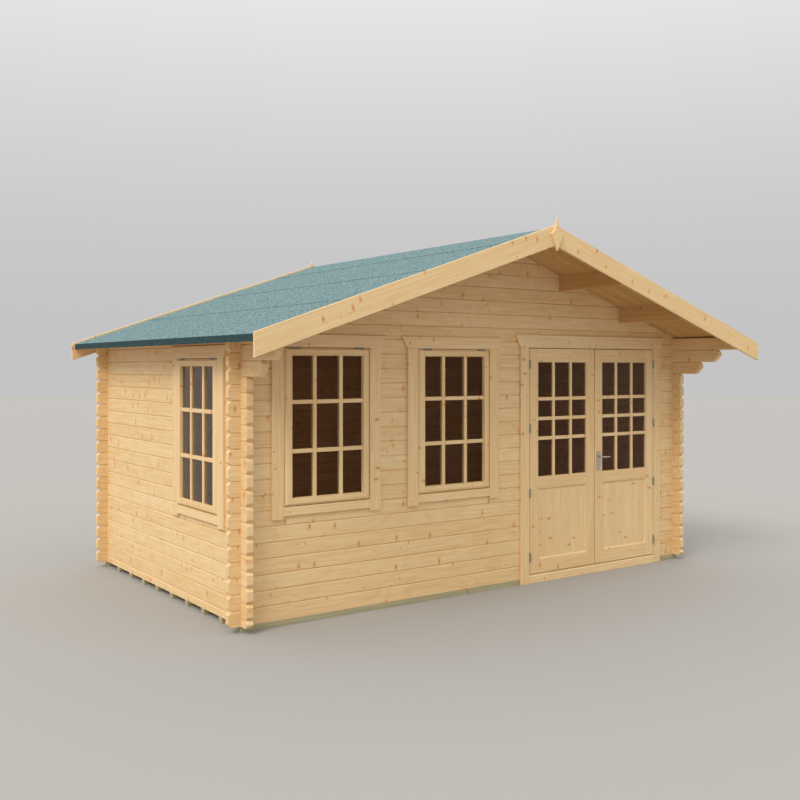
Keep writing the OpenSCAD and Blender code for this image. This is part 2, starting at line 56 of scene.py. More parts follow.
MM = 0.001
CABIN, LEFT_DOOR, RIGHT_DOOR, HANDLE = "cabin", "left_door", "right_door", "door_handle"
WINDOWS = ("window_left", "window_right", "window_side")
X, Y, Z = Vector((1, 0, 0)), Vector((0, 1, 0)), Vector((0, 0, 1))


def low(node):
    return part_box(node)[0]


def high(node):
    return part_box(node)[1]


# Places that everything else is set out from
BASE_Z = high("bearers").z
HALF_W = high("bearers").x
FRONT_Y = low("front_wall_left").y
LOG_T = high("front_wall_left").y - FRONT_Y
EAVE_Z = high("left_wall").z
DOOR_X = (low("left_leaf").x + high("right_leaf").x) / 2
TRIM_T = high("window_left_trim").y - low("window_left_trim").y


# ---------------------------------------------------------------- settings

class CabinTimber(bpy.types.PropertyGroup):
    """Sizes of the logs and boards."""

    log_height: bpy.props.FloatProperty(
        name="Log height", description="Height that each log covers", default=114 * MM, unit="LENGTH")
    edge: bpy.props.FloatProperty(
        name="Edge rounding", description="Rounding on a planed edge", default=2.5 * MM, unit="LENGTH")
    floor_board: bpy.props.FloatProperty(
        name="Floor board", description="Width that each floor board covers", default=102 * MM,
        unit="LENGTH")
    roof_board: bpy.props.FloatProperty(
        name="Roof board", description="Width that each roof board covers", default=94 * MM, unit="LENGTH")
    board_gap: bpy.props.FloatProperty(
        name="Board gap", description="Gap between neighbouring boards", default=0.8 * MM, unit="LENGTH")


class CabinRoof(bpy.types.PropertyGroup):
    """Sizes of the roof and its felt."""

    rise: bpy.props.FloatProperty(
        name="Rise", description="Rise of the roof for each unit of run", default=0.34)
    lap_step: bpy.props.FloatProperty(
        name="Felt exposure", description="From one felt lap to the next, along the slope",
        default=755 * MM, unit="LENGTH")
    lap: bpy.props.FloatProperty(
        name="Felt lap", description="How far a strip lies over the one below", default=80 * MM,
        unit="LENGTH")
    lap_rise: bpy.props.FloatProperty(
        name="Lap edge", description="Thickness of a strip's edge at a lap", default=5 * MM, unit="LENGTH")


class CabinJoinery(bpy.types.PropertyGroup):
    """Sizes of the windows and doors."""

    sash_stile: bpy.props.FloatProperty(
        name="Sash stile", description="Width of a sash stile", default=58 * MM, unit="LENGTH")
    sash_top: bpy.props.FloatProperty(
        name="Sash top rail", description="Height of a sash's top rail", default=53 * MM, unit="LENGTH")
    sash_bottom: bpy.props.FloatProperty(
        name="Sash bottom rail", description="Height of a sash's bottom rail", default=53 * MM,
        unit="LENGTH")
    sash_bar: bpy.props.FloatProperty(
        name="Sash bar", description="Width of a window's glazing bar", default=31 * MM, unit="LENGTH")
    sash_bar_depth: bpy.props.FloatProperty(
        name="Sash bar depth", description="Depth of a window's glazing bar", default=34 * MM, unit="LENGTH")
    sash_bar_x: bpy.props.FloatProperty(
        name="Sash bar offset", description="From a sash's middle to its upright bars", default=114 * MM,
        unit="LENGTH")
    sash_chamfer: bpy.props.FloatProperty(
        name="Sash chamfer", description="Chamfer round the front of a sash", default=16 * MM, unit="LENGTH")
    leaf_stile: bpy.props.FloatProperty(
        name="Door stile", description="Width of a door's stile", default=95 * MM, unit="LENGTH")
    leaf_bar: bpy.props.FloatProperty(
        name="Door bar", description="Width of a door's glazing bar", default=30 * MM, unit="LENGTH")
    leaf_bar_depth: bpy.props.FloatProperty(
        name="Door bar depth", description="Depth of a door's glazing bar", default=26 * MM, unit="LENGTH")
    tall_pane: bpy.props.FloatProperty(
        name="Tall pane", description="Height of a door's top panes", default=310 * MM, unit="LENGTH")
    small_pane: bpy.props.FloatProperty(
        name="Small pane", description="Height of a door's small panes", default=142.5 * MM, unit="LENGTH")
    panel_board: bpy.props.FloatProperty(
        name="Panel board", description="Width of a board in a door's panel", default=99 * MM, unit="LENGTH")
    panel_t: bpy.props.FloatProperty(
        name="Panel thickness", description="Thickness of a door's panel", default=16 * MM, unit="LENGTH")
    bead: bpy.props.FloatProperty(
        name="Bead", description="Width of the bead round a light", default=6.5 * MM, unit="LENGTH")
    panel_bead: bpy.props.FloatProperty(
        name="Panel bead", description="Width of the sloping bead round a panel", default=20 * MM,
        unit="LENGTH")
    trim_w: bpy.props.FloatProperty(
        name="Trim width", description="Width of the outer trims", default=99 * MM, unit="LENGTH")
    inner_trim_w: bpy.props.FloatProperty(
        name="Inner trim width", description="Width of the inner trims", default=60 * MM, unit="LENGTH")
    inner_trim_t: bpy.props.FloatProperty(
        name="Inner trim thickness", description="Thickness of the inner trims", default=15 * MM,
        unit="LENGTH")
    stop: bpy.props.FloatProperty(
        name="Stop", description="Width and depth of a stop", default=15 * MM, unit="LENGTH")
    header_flare: bpy.props.FloatProperty(
        name="Header flare", description="How far a header's top corners flare", default=55 * MM,
        unit="LENGTH")


class CabinColours(bpy.types.PropertyGroup):
    """Colours, as sRGB hex values."""

    pine_light: bpy.props.StringProperty(
        name="Pine, pale", description="Pale early wood", default="F1D3A2")
    pine_mid: bpy.props.StringProperty(
        name="Pine, warm", description="Warm late wood", default="E0B77D")
    knot: bpy.props.StringProperty(
        name="Knot", description="Heart of a knot", default="B26A2C")
    knot_ring: bpy.props.StringProperty(
        name="Knot ring", description="Resin-stained wood round a knot", default="DB9245")
    felt: bpy.props.StringProperty(
        name="Felt", description="Mineral felt", default="637E7F")
    treated: bpy.props.StringProperty(
        name="Treated timber", description="Pressure-treated bearers", default="B5AC88")


GROUPS = {"cabin_timber": CabinTimber, "cabin_roof": CabinRoof,
          "cabin_joinery": CabinJoinery, "cabin_colours": CabinColours}


def settings(name):
    return getattr(bpy.context.scene, name)


# ---------------------------------------------------------------- materials

def srgb(code):
    """An sRGB hex value as a linear colour."""
    channels = [int(code[i:i + 2], 16) / 255 for i in (0, 2, 4)]
    return [c / 12.92 if c <= 0.04045 else ((c + 0.055) / 1.055) ** 2.4 for c in channels] + [1.0]


def add(tree, kind, inputs=None, **options):
    """Adds a node, sets its options, and fills each input with a value or a link."""
    made = tree.nodes.new("ShaderNode" + kind)
    for name, value in options.items():
        setattr(made, name, value)
    for name, value in (inputs or {}).items():
        if isinstance(value, bpy.types.NodeSocket):
            tree.links.new(value, made.inputs[name])
        else:
            made.inputs[name].default_value = value
    return made


def new_material(name):
    material = bpy.data.materials.new(name)
    material.use_nodes = True
    material.node_tree.nodes.clear()
    return material, material.node_tree


def finish_material(tree, inputs):
    shader = add(tree, "BsdfPrincipled", inputs)
    add(tree, "OutputMaterial", {"Surface": shader.outputs[0]})


def math_node(tree, operation, a, b=0.0, c=0.0, clamp=False):
    return add(tree, "Math", {0: a, 1: b, 2: c}, operation=operation, use_clamp=clamp).outputs[0]


def times(tree, a, b, plus=0.0):
    return math_node(tree, "MULTIPLY_ADD", a, b, plus)


def blend_colour(tree, share, a, b, how="MIX"):
    """Two colours, or colour sockets, mixed by share."""
    return add(tree, "Mix", {"Factor": share, 6: a, 7: b}, data_type="RGBA", blend_type=how).outputs[2]


def object_place(tree):
    return add(tree, "TexCoord").outputs["Object"]


def bump(tree, height, strength, distance):
    return add(tree, "Bump", {"Strength": strength, "Distance": distance, "Height": height}).outputs[0]


def stretched(tree, place, scale):
    """A place whose three numbers are multiplied, so that a pattern on it is drawn out."""
    return add(tree, "VectorMath", {0: place, 1: scale}, operation="MULTIPLY").outputs[0]


def noise(tree, place, scale=1.0, detail=2.0, roughness=0.5):
    return add(tree, "TexNoise", {"Vector": place, "Scale": scale, "Detail": detail,
                                  "Roughness": roughness}).outputs["Fac"]


def ramp(tree, value, start, end, low_value=0.0, high_value=1.0):
    return add(tree, "MapRange", {0: value, 1: start, 2: end, 3: low_value, 4: high_value},
               interpolation_type="SMOOTHSTEP").outputs[0]


def board_grain(tree):
    """Where a point lies in its own board, and the board's own random number."""
    return (add(tree, "Attribute", attribute_name="grain").outputs["Vector"],
            add(tree, "Attribute", attribute_name="tone").outputs["Fac"], None)


def log_grain(tree, along, phase):
    """Where a point lies in its own log, the log's random number and how far off its joints are.
    Side walls start with a half log, so their joints are half a log up from the front's."""
    height = settings("cabin_timber").log_height
    place = add(tree, "SeparateXYZ", {0: object_place(tree)}).outputs
    run, depth = (place[0], place[1]) if along == "X" else (place[1], place[0])
    course = times(tree, place[2], 1 / height, phase - BASE_Z / height)
    index = math_node(tree, "FLOOR", course)
    share = math_node(tree, "SUBTRACT", course, index)
    across = times(tree, math_node(tree, "SUBTRACT", share, 0.5), height)
    wall = math_node(tree, "ROUND", depth)
    tone = add(tree, "TexWhiteNoise", {"W": times(tree, wall, 13.7, index)},
               noise_dimensions="1D").outputs["Value"]
    vector = add(tree, "CombineXYZ", {0: run, 1: across, 2: depth}).outputs[0]
    off_middle = math_node(tree, "ABSOLUTE", math_node(tree, "SUBTRACT", share, 0.5))
    to_joint = math_node(tree, "SUBTRACT", 0.5, off_middle)
    return vector, tone, times(tree, to_joint, height)


def wood(name, source, light, mid, knot_ring, knot, knots=0.6, roughness=0.58, sawn=0.0):
    """Softwood, planed or sawn. Growth rings are drawn 7 mm apart and streaks about 15 mm, twice and
    more their real size, so that they show from where a whole building is seen."""
    material, tree = new_material(name)
    grain, tone, to_joint = source(tree)
    spread = add(tree, "CombineXYZ", {0: tone, 1: tone, 2: tone}).outputs[0]
    shift = stretched(tree, spread, (37.0, 19.0, 11.0))
    place = add(tree, "VectorMath", {0: grain, 1: shift}, operation="ADD").outputs[0]
    # knots: about 9 by 4.5 cells a metre, a share with a knot 4 to 14 mm long and twice as wide
    cells = stretched(tree, place, (9.0, 4.5, 0.0))
    spots = add(tree, "TexVoronoi", {"Vector": cells, "Scale": 1.0}, voronoi_dimensions="2D").outputs
    pick = add(tree, "SeparateColor", {0: spots["Color"]}).outputs
    size = times(tree, pick[1], 0.045, 0.02)
    reach = math_node(tree, "DIVIDE", spots["Distance"], size)
    there = math_node(tree, "LESS_THAN", pick[0], knots)
    heart = times(tree, ramp(tree, reach, 0.55, 1.0, 1.0, 0.0), there)
    halo = times(tree, ramp(tree, reach, 0.8, 3.2, 1.0, 0.0), there)
    # growth rings round a pith beside the board, bent round the knots
    wander = noise(tree, stretched(tree, place, (1.3, 3.0, 3.0)))
    part = add(tree, "SeparateXYZ", {0: grain}).outputs
    side = times(tree, tone, 0.16, -0.08)
    across = math_node(tree, "ADD", math_node(tree, "SUBTRACT", part[1], side),
                       times(tree, halo, 0.008))
    radius = math_node(tree, "SQRT", math_node(tree, "ADD", math_node(tree, "POWER", across, 2.0),
                       math_node(tree, "POWER", math_node(tree, "ADD", part[2], 0.06), 2.0)))
    radius = times(tree, wander, 0.05, radius)
    rings = math_node(tree, "FRACT", times(tree, radius, 1 / (7 * MM)))
    late = ramp(tree, rings, 0.35, 0.95)
    streak = noise(tree, stretched(tree, place, (2.2, 66.0, 66.0)), detail=4.0, roughness=0.6)
    streak = ramp(tree, streak, 0.34, 0.68)
    fibre = noise(tree, stretched(tree, place, (9.0, 420.0, 420.0)), detail=3.0)
    # colour: pale and warm wood by streak and ring, each board a little apart from the next
    share = times(tree, streak, 0.45, times(tree, late, 0.22))
    share = times(tree, tone, 0.34, share)
    colour = blend_colour(tree, share, srgb(light), srgb(mid))
    colour = blend_colour(tree, times(tree, halo, 0.62), colour, srgb(knot_ring))
    colour = blend_colour(tree, times(tree, heart, 0.75), colour, srgb(knot))
    if to_joint is not None:  # the shadow where two logs meet, broken as the fit tightens and eases
        tight = noise(tree, stretched(tree, place, (7.0, 0.0, 0.0)), detail=3.0)
        gap = times(tree, ramp(tree, to_joint, 0.4 * MM, 2.0 * MM, 1.0, 0.0),
                        ramp(tree, tight, 0.35, 0.7, 0.05, 0.5))
        colour = blend_colour(tree, gap, colour, srgb("5A381C"))
    height = times(tree, late, 0.5, times(tree, fibre, 0.6 + 3 * sawn))
    height = math_node(tree, "SUBTRACT", height, times(tree, heart, 0.2))
    finish_material(tree, {
        "Base Color": colour, "Roughness": times(tree, streak, 0.12, roughness), "IOR": 1.5,
        "Normal": bump(tree, height, 0.35 + sawn / 2, 0.4 * MM)})
    return material


def pine(name, source, **options):
    tint = settings("cabin_colours")
    return wood(name, source, tint.pine_light, tint.pine_mid, tint.knot_ring, tint.knot, **options)


def slate_grit_felt():
    """Bitumen felt with a mineral face: dull, with slate grit about 2 mm, drawn 15 mm, and mottled."""
    material, tree = new_material("slate_grit_felt")
    tint = settings("cabin_colours")
    place = object_place(tree)
    tone = add(tree, "Attribute", attribute_name="tone").outputs["Fac"]
    grit = noise(tree, place, scale=1 / (15 * MM), detail=3.0, roughness=0.75)
    mottle = noise(tree, place, scale=14.0, detail=4.0)
    colour = blend_colour(tree, ramp(tree, grit, 0.4, 0.6), srgb("35525A"), srgb("93A9A8"))
    colour = blend_colour(tree, 0.2, colour, srgb(tint.felt))
    colour = blend_colour(tree, ramp(tree, mottle, 0.35, 0.75, 0.0, 0.3), colour, srgb("587A7B"))
    # each strip's tone darkens it a little at random; the turned-down eave fold's low tone darkens it much
    # more, as painted shade
    colour = blend_colour(tree, math_node(tree, "SUBTRACT", 1.0, tone), colour, srgb("22383A"))
    finish_material(tree, {
        "Base Color": colour, "Roughness": 0.95, "IOR": 1.5, "Specular IOR Level": 0.1,
        "Normal": bump(tree, grit, 0.8, 2 * MM)})
    return material


def steel(name, code, roughness, grain):
    """Zinc-plated or satin steel: fine brush marks and a slightly uneven shine."""
    material, tree = new_material(name)
    place = object_place(tree)
    brush = noise(tree, stretched(tree, place, grain), detail=4.0)
    colour = blend_colour(tree, ramp(tree, brush, 0.35, 0.65, 0.0, 0.35), srgb(code), srgb("8C8E8D"))
    gloss = ramp(tree, brush, 0.3, 0.7, roughness, roughness + 0.14)
    finish_material(tree, {
        "Base Color": colour, "Metallic": 1.0, "Roughness": gloss,
        "Normal": bump(tree, brush, 0.15, 0.1 * MM)})
    return material


def float_glass():
    """Clear float glass, with the slightest waviness. Its reflections are toned down towards the pine
    that stands about it, so that the pale surroundings of the stage don't hide the room."""
    material, tree = new_material("float_glass")
    wave = noise(tree, object_place(tree), scale=5.0)
    finish_material(tree, {
        "Base Color": srgb("F1E9DF"), "Roughness": 0.0, "IOR": 1.38, "Specular Tint": srgb("9A4F30"),
        "Transmission Weight": 1.0, "Normal": bump(tree, wave, 0.04, 0.5 * MM)})
    return material


def material(name):
    """The named material, made the first time that it is asked for."""
    makers = {
        "logs_front": lambda: pine("logs_front", lambda tree: log_grain(tree, "X", 0.0)),
        "logs_side": lambda: pine("logs_side", lambda tree: log_grain(tree, "Y", 0.5)),
        "planed_pine": lambda: pine("planed_pine", board_grain, knots=0.5),
        # shaded_pine: a darker copy of the planed pine, knots included, for the roof boards, purlins and
        # eave battens; its darkness is painted shade for the shade under the roof
        "shaded_pine": lambda: wood(
            "shaded_pine", board_grain, "D8AE74", "BE8B50", "A8692F", "70401E", knots=0.4),
        "green_treated_pine": lambda: wood(
            "green_treated_pine", board_grain, settings("cabin_colours").treated, "9C9270", "77704F",
            "55492F", knots=0.2, roughness=0.8, sawn=1.0),
        "slate_grit_felt": slate_grit_felt,
        "zinc_plate": lambda: steel("zinc_plate", "A9ACAC", 0.4, (300.0, 300.0, 40.0)),
        "satin_steel": lambda: steel("satin_steel", "C9C9C7", 0.26, (60.0, 300.0, 300.0)),
        # a dark steel laid where the keyhole is: painted shade for the hole
        "keyhole_painted_shade": lambda: steel("keyhole_painted_shade", "2B2A29", 0.6, (90.0, 90.0, 90.0)),
        "float_glass": float_glass,
    }
    return bpy.data.materials.get(name) or makers[name]()


def finish_node(node, name):
    """Gives a CAD node that stays in view its material."""
    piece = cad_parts[node]
    piece.data.materials.clear()
    piece.data.materials.append(material(name))


# ---------------------------------------------------------------- boards

def verts_of(geometry):
    return [item for item in geometry if isinstance(item, bmesh.types.BMVert)]


def edges_of(geometry):
    return [item for item in geometry if isinstance(item, bmesh.types.BMEdge)]


def block(bm, size, centre, turn=0.0):
    """Adds a block, turned about X and then moved to its centre."""
    made = bmesh.ops.create_cube(bm, size=1.0)["verts"]
    bmesh.ops.scale(bm, vec=size, verts=made)
    bmesh.ops.rotate(bm, matrix=Matrix.Rotation(turn, 3, "X"), verts=made)
    bmesh.ops.translate(bm, vec=centre, verts=made)
    return made


def drawn_out(points, way):
    """A bmesh of a flat outline drawn out along a vector."""
    bm = bmesh.new()
    face = bm.faces.new([bm.verts.new(point) for point in points])
    grown = bmesh.ops.extrude_face_region(bm, geom=[face])["geom"]
    bmesh.ops.translate(bm, vec=way, verts=verts_of(grown))
    return bm


def round_edges(bm, edges, width, segments=2):
    bmesh.ops.bevel(bm, geom=edges, offset=width, offset_type="OFFSET", segments=segments, profile=0.5,
                    affect="EDGES", material=-1)


def mesh_of(bm, name):
    """Ends a bmesh and gives its mesh."""
    mesh = bpy.data.meshes.new(name)
    bm.to_mesh(mesh)
    bm.free()
    return mesh


def gather(whole, bm):
    """Ends a bmesh and adds its shape to another one."""
    mesh = mesh_of(bm, "part")
    whole.from_mesh(mesh)
    bpy.data.meshes.remove(mesh)


class Boards:
    """Boards gathered in one mesh. Each carries where its points lie along, across and through
    it, and a random number, so that no two boards have the same grain."""

    def __init__(self, seed):
        self.chance = random.Random(seed)
        self.all = bmesh.new()

    def keep(self, bm, along, across, edge, tone=None):
        """Rounds a board's edges, writes its grain and gathers it."""
        bmesh.ops.recalc_face_normals(bm, faces=bm.faces)
        if edge:
            sharp = [e for e in bm.edges if len(e.link_faces) == 2 and e.calc_face_angle() > 0.3]
            round_edges(bm, sharp, edge)
        points = [v.co for v in bm.verts]
        through = along.cross(across)
        centre = sum(points, Vector()) / len(points)
        grain = bm.verts.layers.float_vector.new("grain")
        shade = bm.verts.layers.float.new("tone")
        value = self.chance.random() if tone is None else tone
        for v in bm.verts:
            away = v.co - centre
            v[grain] = (away.dot(along), away.dot(across), away.dot(through))
            v[shade] = value
        gather(self.all, bm)

    def box(self, a, b, along=X, across=None, edge=None, tone=None, cuts=()):
        """A board between two corners, less what lies beyond each cut's point in its direction."""
        a, b = Vector(a), Vector(b)
        size = Vector([abs(run) for run in b - a])
        bm = bmesh.new()
        block(bm, size, (a + b) / 2)
        for point, direction in cuts:
            made = bmesh.ops.bisect_plane(bm, geom=bm.verts[:] + bm.edges[:] + bm.faces[:], dist=1e-6,
                                          plane_co=point, plane_no=direction, clear_outer=True)["geom_cut"]
            bmesh.ops.holes_fill(bm, edges=edges_of(made), sides=0)
        if across is None:
            others = [(size.dot(axis), i) for i, axis in enumerate((X, Y, Z)) if abs(axis.dot(along)) < 0.5]
            across = (X, Y, Z)[max(others)[1]]
        edge = settings("cabin_timber").edge if edge is None else edge
        self.keep(bm, along, across, min(edge, min(size) * 0.45), tone)

    def prism(self, outline, start, end, along, across, edge=None, tone=None):
        """A board drawn from an outline of x and z points, from start to end along Y."""
        bm = drawn_out([(x, start, z) for x, z in outline], (0, end - start, 0))
        self.keep(bm, along, across, settings("cabin_timber").edge if edge is None else edge, tone)

    def piece(self, name, body, slot, finish, *nodes, place=None):
        """Makes the gathered boards one piece that stands for the CAD nodes."""
        if place is not None:
            bmesh.ops.transform(self.all, matrix=place, verts=self.all.verts)
        return make_piece(self.all, name, body, slot, finish, *nodes)


def new_object(name, data):
    """A new object, linked to the scene."""
    made = bpy.data.objects.new(name, data)
    bpy.context.scene.collection.objects.link(made)
    return made


def make_piece(bm, name, body, slot, finish, *nodes):
    """Turns a bmesh into a piece that rides on a body and stands for CAD nodes."""
    mesh = mesh_of(bm, name)
    mesh.materials.append(material(finish))
    piece = new_object(name, mesh)
    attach(piece, body)
    if nodes:
        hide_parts(*nodes)
    return piece


def spaced(start, end, width):
    """Starts and ends of equal boards near width wide that fill start to end."""
    count = max(1, round((end - start) / width))
    step = (end - start) / count
    return [(start + i * step, start + (i + 1) * step) for i in range(count)]


def roof_z(x):
    """Underside of the roof boards."""
    return EAVE_Z + (HALF_W - abs(x)) * settings("cabin_roof").rise


def down_slope(side):
    """Unit vector down the left or right slope."""
    return Vector((side, 0, -settings("cabin_roof").rise)).normalized()


# ---------------------------------------------------------------- pieces

class CABIN_OT_logs(bpy.types.Operator):
    """Give the log walls their wood"""

    bl_idname = "cabin.logs"
    bl_label = "Log walls"

    def execute(self, context):
        for node in ("front_wall_left", "front_wall_right", "front_gable", "back_wall"):
            finish_node(node, "logs_front")
        for node in ("left_wall", "right_wall"):
            finish_node(node, "logs_side")
        return {"FINISHED"}


class CABIN_OT_base(bpy.types.Operator):
    """Build the bearers and the floor boards"""

    bl_idname = "cabin.base"
    bl_label = "Bearers and floor"

    def execute(self, context):
        timber = settings("cabin_timber")
        a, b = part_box("bearers")
        count, width = 10, 60 * MM
        pitch = (b.y - a.y - width) / (count - 1)
        bearers = Boards(11)
        for i in range(count):
            y = a.y + i * pitch
            bearers.box((a.x, y, a.z), (b.x, y + width, b.z), X, edge=1.5 * MM)
        bearers.piece("treated_bearers", CABIN, "treated_timber", "green_treated_pine", "bearers")
        a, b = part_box("floor_boards")
        floor = Boards(12)
        for x0, x1 in spaced(a.x, b.x, timber.floor_board):
            floor.box((x0, a.y, a.z), (x1 - timber.board_gap, b.y, b.z), Y, edge=1.5 * MM)
        floor.piece("tongued_floor", CABIN, "floor_pine", "planed_pine", "floor_boards")
        return {"FINISHED"}


class CABIN_OT_roof(bpy.types.Operator):
    """Build the purlins, roof boards, eave battens and felt"""

    bl_idname = "cabin.roof"
    bl_label = "Roof"

    def purlins(self):
        beams = Boards(21)
        y0, y1 = low("ridge_purlin").y, high("ridge_purlin").y
        width = high("ridge_purlin").x - low("ridge_purlin").x
        outer = high("purlins").x - width / 2
        depth = roof_z(0) - low("ridge_purlin").z
        inner = 785 * MM
        for x in (-outer, -inner, 0, inner, outer):
            left, right = x - width / 2, x + width / 2
            outline = [(left, roof_z(x) - depth), (right, roof_z(x) - depth), (right, roof_z(right))]
            outline += [(x, roof_z(x))] if x == 0 else []
            beams.prism(outline + [(left, roof_z(left))], y0, y1, Y, Z)
        beams.piece("planed_purlins", CABIN, "roof_pine", "shaded_pine", "purlins", "ridge_purlin")

    def boards(self):
        timber = settings("cabin_timber")
        for side, node in ((-1, "roof_boards_left"), (1, "roof_boards_right")):
            a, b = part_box(node)
            edge = max(abs(a.x), abs(b.x))
            plumb = b.z - roof_z(0)
            boards = Boards(23 + side)
            outline = [(0, roof_z(0)), (side * edge, roof_z(edge)),
                       (side * edge, roof_z(edge) + plumb), (0, roof_z(0) + plumb)]
            for y0, y1 in spaced(a.y, b.y, timber.roof_board):
                boards.prism(outline, y0, y1 - timber.board_gap, down_slope(side), Y, edge=3 * MM)
            boards.piece(node + "_tongued", CABIN, "roof_pine", "shaded_pine", node)

    def battens(self):
        a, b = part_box("eave_battens")
        depth, height = 40 * MM, 28 * MM
        outer, inner = b.x, b.x - depth
        battens = Boards(25)
        for side in (-1, 1):
            outline = [(side * outer, roof_z(outer)), (side * inner, roof_z(inner)),
                       (side * inner, roof_z(outer) - height), (side * outer, roof_z(outer) - height)]
            battens.prism(outline, a.y, b.y, Y, Z, edge=1.5 * MM)
        battens.piece("eave_batten_pair", CABIN, "roof_pine", "shaded_pine", "eave_battens")

    def felt(self):
        """Strips that run along the eaves, each lapped over the one below, and turned down at the eave."""
        roof = settings("cabin_roof")
        a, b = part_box("roof_felt")
        edge = high("roof_boards_right").x
        plumb = high("roof_boards_right").z - roof_z(0)
        fold = b.x - edge
        skin, fold_drop = 2.2 * MM, 3 * MM
        # painted shade: a low tone that the felt's material turns into a much darker fold at the eave
        fold_painted_shade_tone = 0.15
        slope = math.hypot(1, roof.rise)
        length = edge * slope
        chance = random.Random(5)
        felt = Boards(27)

        def at(side, along, lift):
            """A point along up the slope from the eave and lift above the boards."""
            x = edge - along / slope
            up = lift / slope
            return side * (x + up * roof.rise), roof_z(x) + plumb + up

        for side in (-1, 1):
            starts = [i * roof.lap_step for i in range(4)]
            for i, start in enumerate(starts):
                last = i == len(starts) - 1
                end = length if last else starts[i + 1] + roof.lap
                outline = [at(side, end, 0), at(side, end, skin)]
                if i:  # the lap, whose edge is lifted by the strip below
                    rise, flat = roof.lap_rise - skin, start + roof.lap
                    outline = [at(side, start, rise), at(side, flat, 0), *outline,
                               at(side, flat, skin), at(side, start, rise + skin)]
                else:
                    outline = [at(side, 0, 0), *outline, at(side, 0, skin)]
                if last:
                    ridge = roof_z(0) + plumb
                    outline[-4:-2] = [(0, ridge), (0, ridge + skin * slope)]
                tone = 0.93 + 0.07 * chance.random()
                felt.prism(outline, a.y, b.y, Y, down_slope(side), edge=0, tone=tone)
            outer = edge + fold * 0.8
            top = roof_z(edge) + plumb + skin
            turned = [(side * edge, a.z), (side * outer, a.z), (side * outer, top - fold_drop),
                      (side * (edge + fold * 0.3), top), (side * edge, top)]
            felt.prism(turned, a.y, b.y, Y, Z, edge=0.4 * MM, tone=fold_painted_shade_tone)
        felt.piece("felt_strips", CABIN, "mineral_felt", "slate_grit_felt", "roof_felt")

    def execute(self, context):
        self.purlins()
        self.boards()
        self.battens()
        self.felt()
        return {"FINISHED"}


class CABIN_OT_bargeboards(bpy.types.Operator):
    """Build the bargeboards and the finials"""

    bl_idname = "cabin.bargeboards"
    bl_label = "Bargeboards and finials"

    # a finial's upper edge from its tip to its side corner, in half widths and half heights
    finial_edge = ((0, 1), (0.17, 0.56), (0.41, 0.27), (1, 0))

    def execute(self, context):
        depth = 163 * MM
        for place in ("front", "back"):
            for side, hand in ((-1, "left"), (1, "right")):
                node = f"bargeboard_{place}_{hand}"
                a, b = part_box(node)
                end = max(abs(a.x), abs(b.x))
                fall = end * settings("cabin_roof").rise
                outline = [(0, b.z), (side * end, b.z - fall),
                           (side * end, b.z - fall - depth), (0, b.z - depth)]
                boards = Boards(node)
                across = down_slope(side).cross(Y)
                boards.prism(outline, a.y, b.y, down_slope(side), across)
                boards.piece(node + "_planed", CABIN, "board_pine", "planed_pine", node)
            node = "finial_" + place
            a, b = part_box(node)
            middle, tall = (a.z + b.z) / 2, (b.z - a.z) / 2
            upper = [(b.x * across, middle + tall * up) for across, up in self.finial_edge]
            outline = upper + [(0, a.z)] + [(-x, z) for x, z in reversed(upper[1:])]
            finial = Boards(node)
            finial.prism(outline, a.y, b.y, Z, X, edge=1.2 * MM)
            finial.piece(node + "_planed", CABIN, "board_pine", "planed_pine", node)
        return {"FINISHED"}


def rim(boards, half, z0, z1, width, y0, y1):
    """Four boards round an opening from -half to half and z0 to z1, the level ones between the others."""
    for side in (-1, 1):
        boards.box((side * half, y0, z0 - width), (side * (half + width), y1, z1 + width), Z, X)
    for z in (z0 - width, z1):
        boards.box((-half, y0, z), (half, y1, z + width), X, Z)


def bead_rim(boards, x0, x1, z0, z1, face, back, size):
    """Four chamfered beads inside an opening, from the face of the frame back to what they hold."""
    run, front = (back - face) * 0.8, face + 1 * MM
    for sides, start, end, along in (((x0, x1), z0, z1, Z), ((z0, z1), x0, x1, X)):
        for at, way in zip(sides, (1, -1)):
            outline = [(at, front), (at + way * size * 0.35, front), (at + way * size, back), (at, back)]
            bead(boards, outline, start, end, along, run)


def bead(boards, outline, start, end, along, run):
    """One bead of a cross-section in which the second number is depth."""
    if along == Z:
        points = [(x, y, start) for x, y in outline]
    else:
        points = [(start, y, z) for z, y in outline]
    boards.keep(drawn_out(points, along * (end - start)), along, Y, min(0.8 * MM, run))


def header(boards, half, z0, z1):
    """A header trim whose ends flare out to the top."""
    flare = settings("cabin_joinery").header_flare
    outline = [(-half, z0), (half, z0), (half + flare, z1), (-half - flare, z1)]
    boards.prism(outline, -TRIM_T, 0, X, Z)


def bars_between(boards, xs, zs, x0, x1, z0, z1, width, depth, mid, glass_t):
    """Upright bars at xs that run through and level bars at zs between them, on both faces of the glass."""
    rounding = 3.5 * MM
    for y0, y1 in ((mid - depth / 2, mid - glass_t / 2), (mid + glass_t / 2, mid + depth / 2)):
        for x in xs:
            boards.box((x - width / 2, y0, z0), (x + width / 2, y1, z1), Z, X, edge=rounding)
        stops = [x0] + [x + s * width / 2 for x in xs for s in (-1, 1)] + [x1]
        for z in zs:
            for a, b in zip(stops[::2], stops[1::2]):
                boards.box((a, y0, z - width / 2), (b, y1, z + width / 2), X, Z, edge=rounding)


